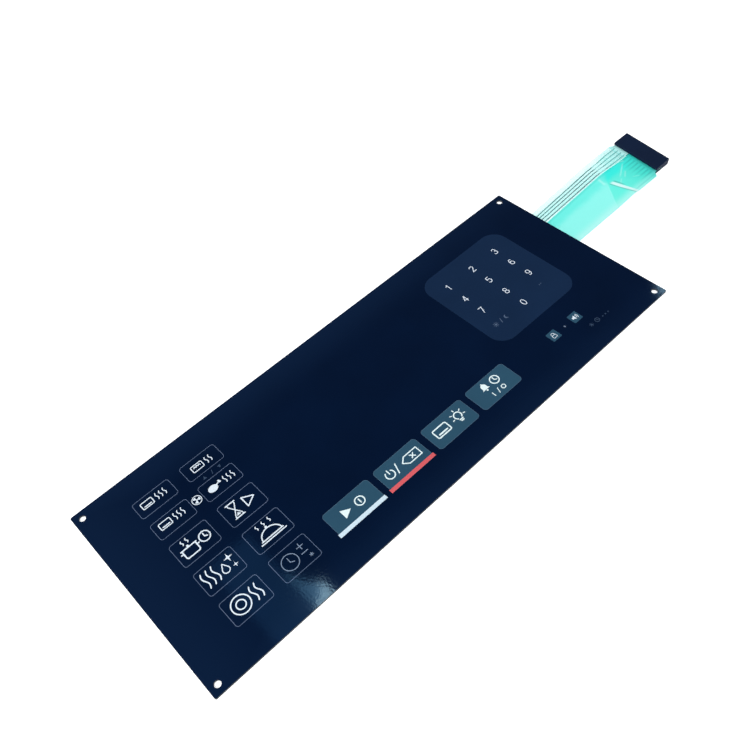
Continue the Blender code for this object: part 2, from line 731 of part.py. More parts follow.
def contact_mesh(frame):
    """One stamped contact, joined from its folded stretches and lying at the middle of the connector."""
    floor = contact_floor()
    film_top = FILM_PLANE + CIRCUIT_FILM_THICKNESS / 2 + CRIMP_CLEARANCE
    box_start = HOUSING_DEPTH / 2 - BOX_SETBACK - BOX_LENGTH
    plate_end = SLOT_DEPTH - HOUSING_DEPTH / 2 - FILM_END_GAP
    plate_start = plate_end - PLATE_LENGTH
    edge = PLATE_WIDTH / 2

    shape = bmesh.new()
    outline = [(box_start, y, z + socket_centre_z()) for y, z in box_section(BOX_SIZE, STOCK, BOX_SEAM)]
    swept(shape, outline, (BOX_LENGTH, 0, 0))
    bmesh.ops.recalc_face_normals(shape, faces=shape.faces)
    mesh = bpy.data.meshes.new("contact")
    shape.to_mesh(mesh)
    shape.free()
    body = new_object("contact_blank", mesh, [], frame)

    # The plate under the film runs on into the floor of the box
    shape = bmesh.new()
    box(shape, (plate_start, -edge, floor), (box_start + STOCK, edge, floor + STOCK))
    tools = [cutter("contact_plate", shape, frame)]

    # Tines rise from the plate's edges through the film and fold over it
    shape = bmesh.new()
    root = edge - TINE_ROOT_WIDTH
    tip = edge - TINE_REACH
    for place in tine_places():
        for side in (-1, 1):
            hook = [
                (root, floor + STOCK),
                (root, floor),
                (edge, floor),
                (edge, film_top + TINE_THICKNESS),
                (tip, film_top + TINE_THICKNESS),
                (tip, film_top),
                (edge - TINE_THICKNESS, film_top),
                (edge - TINE_THICKNESS, floor + STOCK),
            ]
            outline = [(place - TINE_LENGTH / 2, side * y, z) for y, z in hook]
            swept(shape, outline, (TINE_LENGTH, 0, 0))
    tools.append(cutter("contact_tines", shape, frame))

    # A leaf inside the box presses on the pin
    shape = bmesh.new()
    inner = floor + STOCK
    leaf = [
        (STOCK, inner - STOCK / 2),
        (STOCK + LEAF_FOOT, inner - STOCK / 2),
        (LEAF_CREST, inner + LEAF_RISE - STOCK / 2),
        (LEAF_END, inner + LEAF_RISE / 2 - STOCK / 2),
        (LEAF_END, inner + LEAF_RISE / 2),
        (LEAF_CREST, inner + LEAF_RISE),
    ]
    swept(shape, [(box_start + x, -LEAF_WIDTH / 2, z) for x, z in leaf], (0, LEAF_WIDTH, 0))
    tools.append(cutter("contact_leaf", shape, frame))

    for tool in tools:
        cut(body, tool, "UNION")
    graph = bpy.context.evaluated_depsgraph_get()
    joined = bpy.data.meshes.new_from_object(body.evaluated_get(graph))
    for obj in [body, *tools]:
        bpy.data.objects.remove(obj, do_unlink=True)
    return joined


def build_contacts(frame):
    tin = material("contact_tin", (0.62, 0.60, 0.56), 0.30, metallic=1.0)
    shared = contact_mesh(frame)
    for way in range(WAYS):
        contact = new_object(f"contact_{way + 1:02d}", shared, [tin], frame)
        contact.location = (0, way_offset(way), 0)


def build_connector():
    frame = bpy.data.objects.new("connector_frame", None)
    bpy.context.scene.collection.objects.link(frame)
    frame.location = (HOUSING_X, HOUSING_Y, RESTING_HEIGHT)
    frame.rotation_euler = (HOUSING_TWIST, 0, 0)
    bpy.context.view_layer.update()
    build_housing(frame)
    build_contacts(frame)


clear_scene()
build_laminate()
build_spacer()
build_films()
build_overlay()
build_connector()
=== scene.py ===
import math

import bmesh
import bpy
from mathutils import Matrix, Vector
from mathutils.bvhtree import BVHTree
from mathutils.geometry import delaunay_2d_cdt


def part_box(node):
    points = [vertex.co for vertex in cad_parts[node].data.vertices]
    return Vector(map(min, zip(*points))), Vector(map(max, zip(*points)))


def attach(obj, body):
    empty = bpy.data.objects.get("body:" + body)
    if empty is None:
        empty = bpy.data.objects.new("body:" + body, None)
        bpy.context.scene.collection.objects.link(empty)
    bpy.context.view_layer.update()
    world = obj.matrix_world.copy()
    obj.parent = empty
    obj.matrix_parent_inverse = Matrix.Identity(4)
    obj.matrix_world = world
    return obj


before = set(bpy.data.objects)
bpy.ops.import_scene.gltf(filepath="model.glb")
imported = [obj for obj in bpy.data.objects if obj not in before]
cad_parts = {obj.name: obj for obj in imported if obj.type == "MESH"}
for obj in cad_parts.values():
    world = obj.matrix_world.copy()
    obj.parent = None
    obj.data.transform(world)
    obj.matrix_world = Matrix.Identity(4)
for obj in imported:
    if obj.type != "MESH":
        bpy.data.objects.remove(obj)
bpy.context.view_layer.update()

# Membrane keypad: print on the overlay, traces on the tails, materials, light and camera.
# Places on the print and on the tails are in millimetres from the panel's lower left corner.
MM = 0.001
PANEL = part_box("graphic_overlay")
LEFT, BOTTOM, TOP = PANEL[0][0], PANEL[0][1], PANEL[1][2]

# Height of one layer of ink over the film, and how far it sinks into the film, in metres
INK = 0.00002
SINK = 0.000005

# Layers of the print that lie on others
LEGEND_LAYER = 2
BAR_LAYER = 3

# Strokes of the legends, from the bold ones to the dim ones
STROKE = 0.62
FINE = 0.5
THIN = 0.4

# Ways of the connector, and how many of them lie on the coated tail
WAYS = 12
COATED_WAYS = 8


def at(x, y):
    """A place on the print in the frame's metres."""
    return (LEFT + x * MM, BOTTOM + y * MM)


# Materials


def linear(colour):
    """Linear values of an sRGB colour with channels from 0 to 255."""
    return [(c / 255) / 12.92 if c <= 10 else (((c / 255) + 0.055) / 1.055) ** 2.4 for c in colour]


def feed(tree, socket, value):
    """Sets a socket to a value, or links it to another node's output."""
    if isinstance(value, bpy.types.NodeSocket):
        tree.links.new(value, socket)
    else:
        socket.default_value = value


def source(socket):
    """The output that a socket is linked to."""
    return socket.links[0].from_socket


def calc(tree, operation, *values):
    node = tree.nodes.new("ShaderNodeMath")
    node.operation = operation
    for socket, value in zip(node.inputs, values):
        feed(tree, socket, value)
    return node.outputs["Value"]


def added(tree, first, second):
    return calc(tree, "ADD", first, second)


def less(tree, first, second):
    return calc(tree, "SUBTRACT", first, second)


def times(tree, first, second):
    return calc(tree, "MULTIPLY", first, second)


def most(tree, first, second):
    return calc(tree, "MAXIMUM", first, second)


def scaled(tree, value, factor, offset):
    return calc(tree, "MULTIPLY_ADD", value, factor, offset)


def share(tree, value, low, high, first=0.0, last=1.0):
    """Runs smoothly from first to last while value goes from low to high, and stays there."""
    node = tree.nodes.new("ShaderNodeMapRange")
    node.interpolation_type = "SMOOTHSTEP"
    feed(tree, node.inputs["Value"], value)
    feed(tree, node.inputs["From Min"], low)
    feed(tree, node.inputs["From Max"], high)
    feed(tree, node.inputs["To Min"], first)
    feed(tree, node.inputs["To Max"], last)
    return node.outputs["Result"]


def between(tree, value, rise, fall, strength=1.0):
    """Goes up from 0 to the strength over rise, and down to 0 again over fall."""
    up = share(tree, value, rise[0], rise[1], 0.0, strength)
    return times(tree, up, share(tree, value, fall[1], fall[0]))


def split_xyz(tree, vector):
    node = tree.nodes.new("ShaderNodeSeparateXYZ")
    feed(tree, node.inputs["Vector"], vector)
    return node.outputs


def texture_place(tree, kind="Object"):
    return tree.nodes.new("ShaderNodeTexCoord").outputs[kind]


def noise(tree, where, scale, detail=3.0):
    node = tree.nodes.new("ShaderNodeTexNoise")
    feed(tree, node.inputs["Vector"], where)
    feed(tree, node.inputs["Scale"], scale)
    feed(tree, node.inputs["Detail"], detail)
    return node.outputs["Fac"]


def ramp(tree, factor, stops):
    """The colour along stops of (place, linear colour), for a factor in the units of the places."""
    start, end = stops[0][0], stops[-1][0]
    node = tree.nodes.new("ShaderNodeValToRGB")
    elements = node.color_ramp.elements
    while len(elements) < len(stops):
        elements.new(0.5)
    for element, (place, colour) in zip(elements, stops):
        element.position = (place - start) / (end - start)
        element.color = [*colour, 1]
    feed(tree, node.inputs["Fac"], scaled(tree, factor, 1 / (end - start), -start / (end - start)))
    return node.outputs["Color"]


def blend(tree, factor, first, second):
    """A mix of two colours, each an output or an sRGB colour with channels from 0 to 255."""
    node = tree.nodes.new("ShaderNodeMix")
    node.data_type = "RGBA"
    feed(tree, node.inputs["Factor"], factor)
    for socket, value in zip((node.inputs[6], node.inputs[7]), (first, second)):
        linked = isinstance(value, bpy.types.NodeSocket)
        feed(tree, socket, value if linked else [*linear(value), 1])
    return node.outputs[2]


# Scale of the clouds, and noise values between which they go from the dark to the light shade
CLOUD_SCALE = 28.0
CLOUD_DARK, CLOUD_LIGHT = 0.3, 0.7
# Detail of the grain, and its roughness at 0 and what it adds at 1, as parts of the material's
GRAIN_DETAIL = 2.0
GRAIN_BASE, GRAIN_SWING = 0.82, 0.35
# Depth of a material's relief in metres
RELIEF = 0.00004


def finish_of(name, colour, roughness, grain=0.06, grain_scale=900.0, bump=0.05, **more):
    """A material of one colour with slow clouding, fine grain in its gloss and a slight relief."""
    made = bpy.data.materials.new(name)
    made.use_nodes = True
    tree = made.node_tree
    shader = tree.nodes["Principled BSDF"]
    where = texture_place(tree)
    base = linear(colour)
    dark = [c * (1 - grain) for c in base]
    light = [min(1.0, c * (1 + grain)) for c in base]
    clouds = ramp(tree, noise(tree, where, CLOUD_SCALE), ((CLOUD_DARK, dark), (CLOUD_LIGHT, light)))
    feed(tree, shader.inputs["Base Color"], clouds)
    fine = noise(tree, where, grain_scale, GRAIN_DETAIL)
    dull = scaled(tree, fine, GRAIN_SWING * roughness, GRAIN_BASE * roughness)
    feed(tree, shader.inputs["Roughness"], dull)
    relief = tree.nodes.new("ShaderNodeBump")
    feed(tree, relief.inputs["Strength"], bump)
    feed(tree, relief.inputs["Distance"], RELIEF)
    feed(tree, relief.inputs["Height"], fine)
    feed(tree, shader.inputs["Normal"], relief.outputs["Normal"])
    for socket, value in more.items():
        feed(tree, shader.inputs[socket.replace("_", " ")], value)
    return made


def places(material):
    """The material's tree and shader, and the x and y on the panel in millimetres."""
    tree = material.node_tree
    place = split_xyz(tree, texture_place(tree))
    x = scaled(tree, place["X"], 1 / MM, -LEFT / MM)
    y = scaled(tree, place["Y"], 1 / MM, -BOTTOM / MM)
    return tree, tree.nodes["Principled BSDF"], x, y


# The film lies over all the inks, so they share its gloss
FILM = {"roughness": 0.045, "bump": 0.2, "Specular_IOR_Level": 0.45}
# The coating lies over its traces in the same way
COAT = {"roughness": 0.34, "grain": 0.05, "bump": 0.15, "Specular_IOR_Level": 0.35}
OVERLAY = finish_of("overlay_navy", (4, 20, 46), grain=0.10, **FILM)
FIELD_INK = finish_of("ink_number_field", (21, 41, 70), grain=0.08, **FILM)
TILE_INK = finish_of("ink_tile", (45, 80, 102), **FILM)
TILE_LINE_INK = finish_of("ink_tile_line", (72, 100, 122), **FILM)
LINE_INK = finish_of("ink_key_line", (96, 112, 140), **FILM)
WHITE_INK = finish_of("ink_white", (207, 228, 241), grain=0.02, **FILM)
LEGEND_INK = finish_of("ink_legend", (226, 238, 248), grain=0.03, **FILM)
DIGIT_INK = finish_of("ink_digit", (228, 238, 250), grain=0.03, **FILM)
TILE_LEGEND_INK = finish_of("ink_tile_legend", (230, 247, 249), grain=0.03, **FILM)
DIM_INK = finish_of("ink_dim_legend", (128, 146, 170), **FILM)
FAINT_INK = finish_of("ink_faint_legend", (56, 74, 98), **FILM)
FIELD_LEGEND_INK = finish_of("ink_field_legend", (82, 100, 126), **FILM)
RED_INK = finish_of("ink_red", (216, 95, 101), grain=0.04, **FILM)
ADHESIVE = finish_of("acrylic_adhesive", (16, 22, 30), 0.55, grain=0.04, bump=0.2)
PAPER = finish_of("release_paper", (216, 210, 196), 0.78, grain=0.05, grain_scale=1600, bump=0.4)
SPACER = finish_of("spacer_polyester", (14, 20, 30), 0.4, grain=0.04, bump=0.1)
CLEAR = finish_of("circuit_polyester", (176, 246, 240), 0.14, grain=0.05, bump=0.05)
COATING = finish_of("dielectric_coating", (110, 242, 228), **COAT)
COATED_TRACE = finish_of("coated_trace", (80, 220, 206), **COAT)
TRACE = finish_of("silver_trace", (58, 98, 102), 0.5, grain=0.12, bump=0.3)
NYLON = finish_of(
    "housing_nylon", (9, 27, 54), 0.6, grain=0.12, grain_scale=2200, bump=0.3,
    Specular_IOR_Level=0.12,
)
TIN = finish_of(
    "contact_tin", (206, 202, 194), 0.28, grain=0.08, grain_scale=1500, bump=0.15, Metallic=1.0,
)

# Where the tails leave the panel, and the coated tail's near edge
TAIL_ROOT = 305.1
TAIL_EDGE = 58.9

# The crease of the coated tail: its point, and where its shoulder and its foot meet the near edge
CREASE_POINT = (351.4, 75.1)
CREASE_SHOULDER, CREASE_FOOT = 340.8, 357.4

# Bands along the foot of the crease, each with its rise and its fall, and where they fade
# across the tail
CREASE_LIT = ((0.9, 1.6), (3.1, 4.1))
CREASE_SHADE = ((0.0, 0.6), (0.8, 1.3))
CREASE_FAR_SHADE = ((3.6, 4.2), (4.5, 5.4))
CREASE_TOP = (CREASE_POINT[1] + 0.2, CREASE_POINT[1] - 1.6)
FAR_SHADE_ACROSS = (66.0, 71.0)

# Rims of the coated tail across it, each with its rise and its fall, and its bare edges
FAR_RIM = ((80.9, 82.0), (82.4, 82.8))
NEAR_RIM = ((TAIL_EDGE + 1.2, TAIL_EDGE + 1.8), (TAIL_EDGE + 2.2, TAIL_EDGE + 2.8))
FAR_BARE = (82.6, 82.9)
NEAR_BARE = (TAIL_EDGE + 0.6, TAIL_EDGE + 0.2)

# Fades of the coating: from one place to another, and from one strength to another
UPPER_ACROSS = (73.5, 78.5)
UPPER_ALONG = (364.0, 376.0, 0.85, 0.35)
PALE_ACROSS = (65.5, TAIL_EDGE, 0.0, 0.5)
PALE_ALONG = (364.0, 378.0, 1.0, 0.4)
NEAR_RIM_ALONG = (356.0, 364.0, 0.0, 0.28)
BARE_ALONG = (368.0, 346.0, 0.25, 1.0)
TRACE_ALONG = (366.0, 378.0, 0.0, 0.34)

# Strengths of the far rim and of the crease's shade
FAR_RIM_STRENGTH = 0.3
CREASE_STRENGTH = 0.6

# Clouds of the coating: scale and detail, and the spread in millimetres by which they shift
# places along and across the tail
COAT_CLOUDS = (160.0, 4.0)
SHIFT_ALONG, SHIFT_ACROSS = 9.0, 3.0

# Where the change at the shoulder of the crease begins and ends, and how its end moves on with
# each millimetre above the crease's point
CHANGE_START, CHANGE_END, CHANGE_WIDEN = -0.4, 0.6, 1.2

# The coating's colours before the crease, on the near and on the far side, and after it; the last
# ones darken by the connector, a painted shadow of the housing
ROOT_NEAR, ROOT_FAR = (144, 249, 239), (112, 243, 231)
STRONG_FAR = (46, 240, 228)
STRONG = (
    (338, (116, 244, 228)),
    (352, (104, 243, 226)),
    (362, (99, 240, 224)),
    (370, (86, 234, 218)),
    (376, (74, 224, 210)),
    (380, (62, 208, 198)),
)

# Colours laid over the coating's ground, painted highlights and shade among them
PALE_COAT = (206, 252, 249)
WRINKLE_HIGHLIGHT = (204, 252, 248)
LIT_COAT = (216, 252, 250)
SHADED_COAT = (72, 168, 160)
RIM_COAT = (40, 196, 186)
BARE_FILM = (176, 249, 246)
DARK_TRACE = (20, 150, 144)

# Painted highlights along small creases of the coating: start, end, half width and strength
WRINKLE_HIGHLIGHTS = (
    ((349.8, 75.0), (350.6, 82.4), 1.5, 0.42),
    ((360.6, 73.2), (372.6, 80.4), 0.8, 0.36),
    ((363.0, 71.3), (368.4, 75.2), 0.8, 0.32),
    ((357.0, 69.8), (361.4, 72.6), 0.7, 0.3),
    ((366.5, 69.0), (371.5, 66.2), 0.6, 0.2),
    ((369.5, 82.6), (374.5, 80.6), 0.8, 0.4),
)


def beyond(tree, x, y, foot):
    """How far a place lies beyond the line from the crease's point to this foot, along the tail."""
    slope = (foot - CREASE_POINT[0]) / (CREASE_POINT[1] - TAIL_EDGE)
    below = most(tree, less(tree, CREASE_POINT[1], y), 0.0)
    return less(tree, less(tree, x, CREASE_POINT[0]), times(tree, below, slope))


def streak(tree, x, y, start, end, width, strength):
    """A soft line from start to end, as a factor."""
    reach = math.dist(start, end)
    ux, uy = (end[0] - start[0]) / reach, (end[1] - start[1]) / reach
    along = added(tree, times(tree, x, ux), scaled(tree, y, uy, -start[0] * ux - start[1] * uy))
    off = added(tree, times(tree, x, -uy), scaled(tree, y, ux, start[0] * uy - start[1] * ux))
    across = share(tree, calc(tree, "ABSOLUTE", off), width, 0.0, 0.0, strength)
    return times(tree, across, between(tree, along, (0.0, 0.25 * reach), (0.75 * reach, reach)))


def coat_ground(tree, x, y):
    """The coating's colour: pale at the root and stronger past the crease; the step at the crease's
    shoulder is partly painted shade of its facet, and the darkening by the connector is a painted
    shadow of the housing.
    """
    cloud = noise(tree, texture_place(tree), *COAT_CLOUDS)
    x_soft = added(tree, x, scaled(tree, cloud, SHIFT_ALONG, -SHIFT_ALONG / 2))
    y_soft = added(tree, y, scaled(tree, cloud, SHIFT_ACROSS, -SHIFT_ACROSS / 2))
    upper = share(tree, y_soft, *UPPER_ACROSS)
    root = blend(tree, upper, ROOT_NEAR, ROOT_FAR)
    strong = ramp(tree, x_soft, [(place, linear(colour)) for place, colour in STRONG])
    strong = blend(tree, times(tree, upper, share(tree, x, *UPPER_ALONG)), strong, STRONG_FAR)
    wide = most(tree, less(tree, y, CREASE_POINT[1]), 0.0)
    crossed = beyond(tree, x, y, CREASE_SHOULDER)
    past = share(tree, crossed, CHANGE_START, scaled(tree, wide, CHANGE_WIDEN, CHANGE_END))
    return blend(tree, past, root, strong)


def crease(tree, x, y, colour):
    """The lit and the shaded bands along the foot of the crease."""
    foot = beyond(tree, x, y, CREASE_FOOT)
    low = share(tree, y, *CREASE_TOP)
    colour = blend(tree, times(tree, between(tree, foot, *CREASE_LIT), low), colour, LIT_COAT)
    far = times(tree, between(tree, foot, *CREASE_FAR_SHADE), share(tree, y, *FAR_SHADE_ACROSS))
    shade = most(tree, between(tree, foot, *CREASE_SHADE), far)
    shade = times(tree, shade, times(tree, low, CREASE_STRENGTH))
    return blend(tree, shade, colour, SHADED_COAT)


def coat_edges(tree, x, y, colour):
    """The stronger rims of the coating, and the bare film beside them."""
    rim = between(tree, y, *FAR_RIM, FAR_RIM_STRENGTH)
    near = times(tree, between(tree, y, *NEAR_RIM), share(tree, x, *NEAR_RIM_ALONG))
    colour = blend(tree, most(tree, rim, near), colour, RIM_COAT)
    bare = most(tree, share(tree, y, *NEAR_BARE), share(tree, y, *FAR_BARE))
    return blend(tree, times(tree, bare, share(tree, x, *BARE_ALONG)), colour, BARE_FILM)


def coat(material, darken=False):
    """The coating with its crease, painted highlights along small creases, and edges; it darkens
    over the traces.
    """
    tree, shader, x, y = places(material)
    colour = coat_ground(tree, x, y)
    pale = times(tree, share(tree, y, *PALE_ACROSS), share(tree, x, *PALE_ALONG))
    colour = blend(tree, pale, colour, PALE_COAT)
    for highlight in WRINKLE_HIGHLIGHTS:
        colour = blend(tree, streak(tree, x, y, *highlight), colour, WRINKLE_HIGHLIGHT)
    colour = crease(tree, x, y, colour)
    colour = coat_edges(tree, x, y, colour)
    if darken:
        colour = blend(tree, share(tree, x, *TRACE_ALONG), colour, DARK_TRACE)
    feed(tree, shader.inputs["Base Color"], colour)


# The clear tail: its far edge, its denser stretch and its end in the connector, each with its
# colour and with what it adds to the film's opacity
CLEAR_COLOUR, CLEAR_ALPHA = (106, 248, 242), 0.26
CLEAR_EDGE, CLEAR_EDGE_COLOUR, CLEAR_EDGE_ALPHA = (90.8, 92.0), (134, 248, 245), -0.06
CLEAR_DENSE, CLEAR_DENSE_COLOUR, CLEAR_DENSE_ALPHA = (360.5, 368.0), (108, 248, 242), 0.07
# The end's pale colour is a painted highlight, nearly opaque over what lies beneath
CLEAR_END_HIGHLIGHT, CLEAR_END_HIGHLIGHT_COLOUR = (376.0, 377.6), (190, 254, 251)
CLEAR_END_SOLID, CLEAR_END_ALPHA = (376.2, 377.4), 0.64


def clear_tail(material):
    """The clear film: a little denser towards the connector and fainter at its far edge, with a
    painted highlight at its end in the connector.
    """
    tree, shader, x, y = places(material)
    edge = share(tree, y, *CLEAR_EDGE)
    dense = share(tree, x, *CLEAR_DENSE)
    colour = blend(tree, edge, CLEAR_COLOUR, CLEAR_EDGE_COLOUR)
    colour = blend(tree, dense, colour, CLEAR_DENSE_COLOUR)
    colour = blend(tree, share(tree, x, *CLEAR_END_HIGHLIGHT), colour, CLEAR_END_HIGHLIGHT_COLOUR)
    feed(tree, shader.inputs["Base Color"], colour)
    alpha = scaled(tree, edge, CLEAR_EDGE_ALPHA, CLEAR_ALPHA)
    alpha = scaled(tree, dense, CLEAR_DENSE_ALPHA, alpha)
    alpha = scaled(tree, share(tree, x, *CLEAR_END_SOLID), CLEAR_END_ALPHA, alpha)
    feed(tree, shader.inputs["Alpha"], alpha)


# The silver on the clear tail: before the bend, in the bend and after it
SILVER, SILVER_BENT, SILVER_AFTER = (58, 98, 102), (150, 204, 204), (94, 172, 169)
SILVER_BEND = ((354.5, 356.5), (360.0, 362.0))
SILVER_CHANGE = (361.0, 363.5)


def silver_tail(material):
    """The silver catches the light where the clear tail bends, and is paler from there on."""
    tree, shader, x, _ = places(material)
    colour = blend(tree, share(tree, x, *SILVER_CHANGE), SILVER, SILVER_AFTER)
    colour = blend(tree, between(tree, x, *SILVER_BEND), colour, SILVER_BENT)
    feed(tree, shader.inputs["Base Color"], colour)


# Margins of the overlay, where a sheen is painted: from one place to another, and from one strength
# to another
FAR_MARGIN = (94.0, 124.0, 0.0, 0.95)
NEAR_MARGIN = (18.0, -4.0, 0.0, 0.7)
MARGINS_ALONG = (180.0, 300.0, 1.0, 0.55)
LEFT_MARGIN = (54.0, -6.0, 0.0, 0.85)
MARGIN_SHEEN = (12, 31, 59)


def painted_margin_sheen(material):
    """The overlay: a little paler towards its left end and its long edges, a painted sheen of
    reflected light.
    """
    tree, shader, x, y = places(material)
    pale = most(tree, share(tree, y, *FAR_MARGIN), share(tree, y, *NEAR_MARGIN))
    pale = times(tree, pale, share(tree, x, *MARGINS_ALONG))
    pale = most(tree, pale, share(tree, x, *LEFT_MARGIN))
    base = shader.inputs["Base Color"]
    feed(tree, base, blend(tree, pale, source(base), MARGIN_SHEEN))


# How level a face may be as a cut edge, and where the panel ends for its edges
EDGE_LEVEL = (0.3, 0.1)
EDGE_END = (TAIL_ROOT + 0.3, TAIL_ROOT + 0.1)


def shade_cut_edges(material, colour, roughness):
    """Painted shade on the upright cut edges of a layer, round the panel and in its holes, which
    are also duller.
    """
    tree, shader, x, _ = places(material)
    normal = split_xyz(tree, tree.nodes.new("ShaderNodeNewGeometry").outputs["True Normal"])
    upright = share(tree, calc(tree, "ABSOLUTE", normal["Z"]), *EDGE_LEVEL)
    upright = times(tree, upright, share(tree, x, *EDGE_END))
    base, dull, alpha = (shader.inputs[name] for name in ("Base Color", "Roughness", "Alpha"))
    feed(tree, base, blend(tree, upright, source(base), colour))
    feed(tree, dull, scaled(tree, upright, roughness, source(dull)))
    if alpha.links:
        feed(tree, alpha, most(tree, upright, source(alpha)))


coat(COATING)
coat(COATED_TRACE, True)
clear_tail(CLEAR)
silver_tail(TRACE)
painted_margin_sheen(OVERLAY)
shade_cut_edges(OVERLAY, (4, 12, 28), 0.5)
shade_cut_edges(CLEAR, (24, 44, 54), 0.5)
shade_cut_edges(COATING, (22, 52, 58), 0.4)
shade_cut_edges(PAPER, (64, 74, 82), 0.0)


def dress(names, material):
    for name in names:
        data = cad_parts[name]
        if not data.material_slots:
            data.data.materials.append(material)
        for place in data.material_slots:
            place.material = material


dress(["graphic_overlay"], OVERLAY)
dress(["overlay_adhesive", "rear_adhesive"], ADHESIVE)
dress(["circuit_spacer"], SPACER)
dress(["upper_circuit_film"], CLEAR)
dress(["lower_circuit_film"], COATING)
dress(["release_liner"], PAPER)
dress(["connector_housing"], NYLON)
dress([f"contact_{way + 1:02d}" for way in range(WAYS)], TIN)


# Flat shapes, in millimetres: each is a polygon, and a sign is a list of them


def arc(x, y, radius, start, end, steps):
    turns = [math.radians(start + (end - start) * i / steps) for i in range(steps + 1)]
    return [(x + radius * math.cos(t), y + radius * math.sin(t)) for t in turns]


def disc(x, y, radius, sides=12):
    return [arc(x, y, radius, 0, 360, sides)[:-1]]


def ring(x, y, radius, width=STROKE, start=0, end=360, sides=28):
    """An arc of a round line, whose middle has this radius."""
    outer = arc(x, y, radius + width / 2, start, end, sides)
    inner = arc(x, y, radius - width / 2, start, end, sides)
    return [[outer[i], outer[i + 1], inner[i + 1], inner[i]] for i in range(sides)]


def block(x, y, width, height, radius=0.0, steps=4):
    """A box about its centre, with round corners."""
    a, b = width / 2 - radius, height / 2 - radius
    if radius <= 0:
        return [[(x + a, y - b), (x + a, y + b), (x - a, y + b), (x - a, y - b)]]
    outline = []
    for quarter, (i, j) in enumerate(((1, -1), (1, 1), (-1, 1), (-1, -1))):
        start = (quarter - 1) * 90
        outline += arc(x + i * a, y + j * b, radius, start, start + 90, steps)
    return [outline]


def line(points, width=STROKE, closed=False):
    """A line with round ends and corners through these points."""
    shapes = []
    if closed:
        points = list(points) + [points[0]]
    for (ax, ay), (bx, by) in zip(points, points[1:]):
        turn = math.degrees(math.atan2(by - ay, bx - ax))
        end = arc(bx, by, width / 2, turn - 90, turn + 90, 6)
        start = arc(ax, ay, width / 2, turn + 90, turn + 270, 6)
        shapes.append(end + start)
    return shapes


def spokes(angles, inner, outer, width, y=0.0):
    """Lines that point away from a place above the centre, from one distance to another."""
    shapes = []
    for angle in angles:
        a, b = math.cos(math.radians(angle)), math.sin(math.radians(angle))
        shapes += line([(inner * a, y + inner * b), (outer * a, y + outer * b)], width)
    return shapes


def moved(shapes, x, y, scale=1.0):
    return [[(x + scale * a, y + scale * b) for a, b in shape] for shape in shapes]


def sized(shapes, scale):
    return moved(shapes, 0, 0, scale)


def inside(x, y, outline):
    hit = False
    for (ax, ay), (bx, by) in zip(outline, outline[1:] + outline[:1]):
        if (ay > y) != (by > y) and x < ax + (y - ay) * (bx - ax) / (by - ay):
            hit = not hit
    return hit


# Points of a sign that are nearer than this are one, in millimetres, and vertices of a piece in
# metres
SAME = 1e-5
WELD = 1e-8


def merged(shapes, holes):
    """(points, triangles) of the union of these polygons without the holes."""
    flat, edges = [], []
    for shape in [*shapes, *holes]:
        first = len(flat)
        flat += [Vector(p) for p in shape]
        edges += [(first + i, first + (i + 1) % len(shape)) for i in range(len(shape))]
    points, _, faces, *_ = delaunay_2d_cdt(flat, edges, [], 0, SAME)
    kept = []
    for face in faces:
        x = sum(points[i].x for i in face) / len(face)
        y = sum(points[i].y for i in face) / len(face)
        if any(inside(x, y, s) for s in shapes) and not any(inside(x, y, h) for h in holes):
            kept.append(face)
    return points, kept


def piece(name, shape, material):
    bmesh.ops.remove_doubles(shape, verts=shape.verts, dist=WELD)
    bmesh.ops.recalc_face_normals(shape, faces=shape.faces)
    mesh = bpy.data.meshes.new(name)
    shape.to_mesh(mesh)
    shape.free()
    made = bpy.data.objects.new(name, mesh)
    bpy.context.scene.collection.objects.link(made)
    mesh.materials.append(material)
    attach(made, "root")


def thicken(shape, points, faces, low, high):
    """A closed plate over flat faces, between these heights."""
    used = sorted({i for face in faces for i in face})
    lower = {i: shape.verts.new((*points[i], low)) for i in used}
    upper = {i: shape.verts.new((*points[i], high)) for i in used}
    sides = {}
    for face in faces:
        shape.faces.new([upper[i] for i in face])
        shape.faces.new([lower[i] for i in reversed(face)])
        for a, b in zip(face, face[1:] + face[:1]):
            if (b, a) in sides:
                sides[b, a] = False
            else:
                sides[a, b] = True
    for (a, b), outer in sides.items():
        if outer:
            shape.faces.new((upper[b], upper[a], lower[a], lower[b]))


def printed(name, signs, material, layer=1):
    """Ink on the overlay. Each sign is a list of polygons, or a pair of polygons and holes."""
    shape = bmesh.new()
    for sign in signs:
        shapes, holes = sign if isinstance(sign, tuple) else (sign, [])
        points, faces = merged(shapes, holes)
        corners = [at(p.x, p.y) for p in points]
        thicken(shape, corners, faces, TOP - SINK, TOP + layer * INK)
    piece(name, shape, material)


# Print: fields, tiles, bars and key outlines. Places are of their centres.
FIELD_X, FIELD_Y, FIELD_WIDTH, FIELD_HEIGHT, FIELD_RADIUS = 248.9, 70.35, 62.0, 63.8, 9.5
KEY_COLUMNS = (35.6, 63.6)
# Middle and height of each row of keys
KEY_ROWS = ((98.25, 10.9), (82.3, 10.9), (64.45, 14.7), (44.7, 14.7), (24.95, 14.7))
KEY_WIDTH = 21.2
KEY_RADIUS = 1.5
KEY_LINE = 0.25
# Middle and width of each command tile
TILES = ((99.5, 28.5), (131.55, 28.0), (163.6, 27.7), (195.0, 27.5))
TILE_Y, TILE_HEIGHT, TILE_RADIUS = 24.6, 15.2, 2.0
TILE_LINE = 0.22
# Middle and width of the white and of the red bar
WHITE_BAR, RED_BAR = (99.4, 29.3), (131.6, 29.1)
BAR_Y, BAR_HEIGHT = 18.15, 2.2
SMALL_TILES = ((241.0, 24.0), (258.1, 24.0))
SMALL_WIDTH, SMALL_HEIGHT, SMALL_RADIUS = 6.3, 6.2, 0.5

FIELD_STEPS, TILE_STEPS, KEY_STEPS = 12, 8, 6


def outline_of(x, y, width, height, radius, border, steps):
    """The outline of a box with round corners, as polygons and holes."""
    outer = block(x, y, width, height, radius, steps)
    return outer, block(x, y, width - 2 * border, height - 2 * border, radius - border, steps)


def bar(middle, width):
    return block(middle, BAR_Y, width, BAR_HEIGHT)


